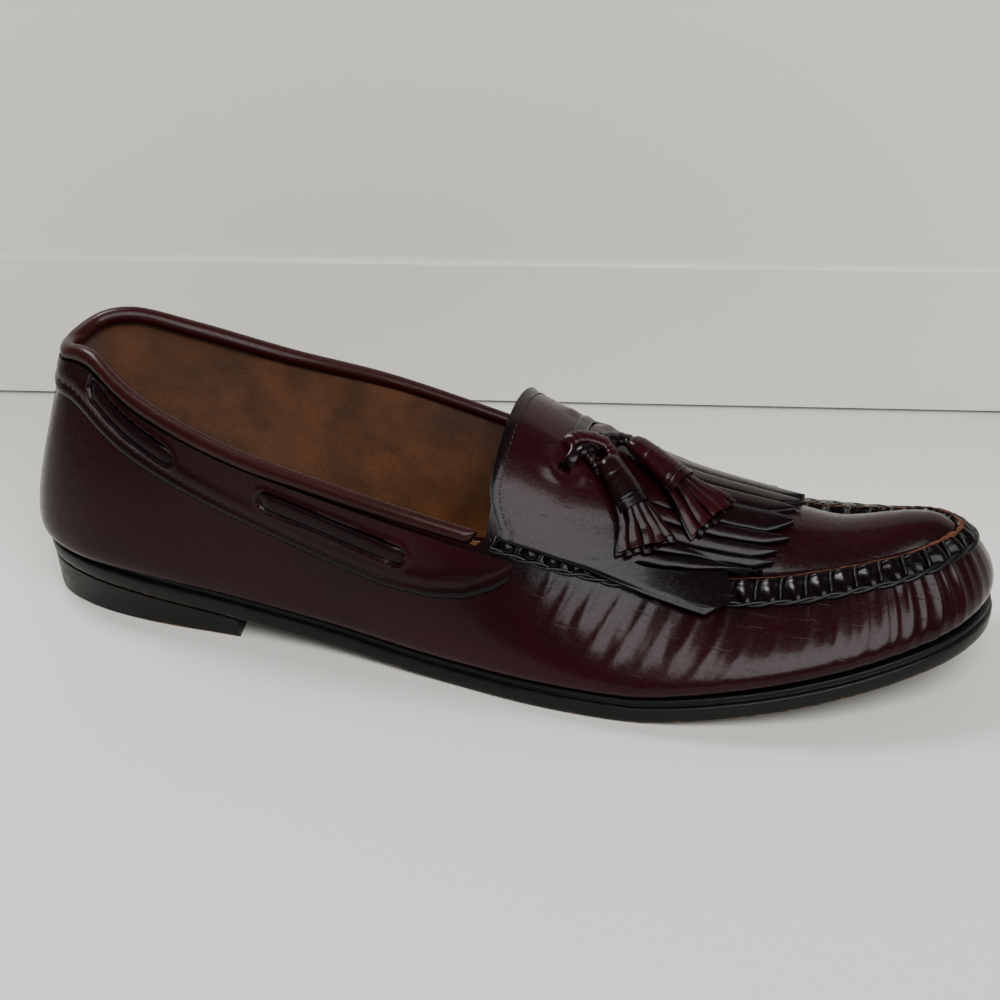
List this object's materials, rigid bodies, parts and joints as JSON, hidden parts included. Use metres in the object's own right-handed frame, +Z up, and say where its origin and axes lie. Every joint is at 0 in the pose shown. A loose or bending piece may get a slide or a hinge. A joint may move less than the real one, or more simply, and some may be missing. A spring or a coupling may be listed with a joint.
{
  "type": "tassel loafer",
  "caption": "Right leather moccasin loafer with a raised apron seam, a fringed kiltie, two tassels, a laced collar band and a low-heeled leather sole",
  "frame": {"origin": "on the floor under the middle of the shoe's bounding box", "axes": "+X points to the toe, +Z up, -Y to the outer side of the foot"},
  "size_m": [0.3038, 0.1082, 0.0855],
  "materials": {
    "burgundy_leather": "polished calf, dark burgundy with near-black edges and folds",
    "collar_leather": "polished calf, warmer red",
    "dark_leather": "polished calf, near-black red",
    "sock_leather": "matt dark red lining leather",
    "sole_leather": "satin black edge dressing over tan leather"
  },
  "bodies": {
    "root": {"outsole": "sole_leather", "midsole": "sole_leather", "heel": "sole_leather", "insole": "sock_leather", "upper": "burgundy_leather", "collar_roll": "collar_leather", "collar_band": "burgundy_leather", "thong_outer_rear": "dark_leather", "thong_outer_front": "dark_leather", "thong_inner_rear": "dark_leather", "thong_inner_front": "dark_leather", "back_seam": "dark_leather", "kiltie": "burgundy_leather", "tassel_lace": "dark_leather", "tassel_near": "dark_leather", "tassel_far": "dark_leather"}
  },
  "joints": []
}
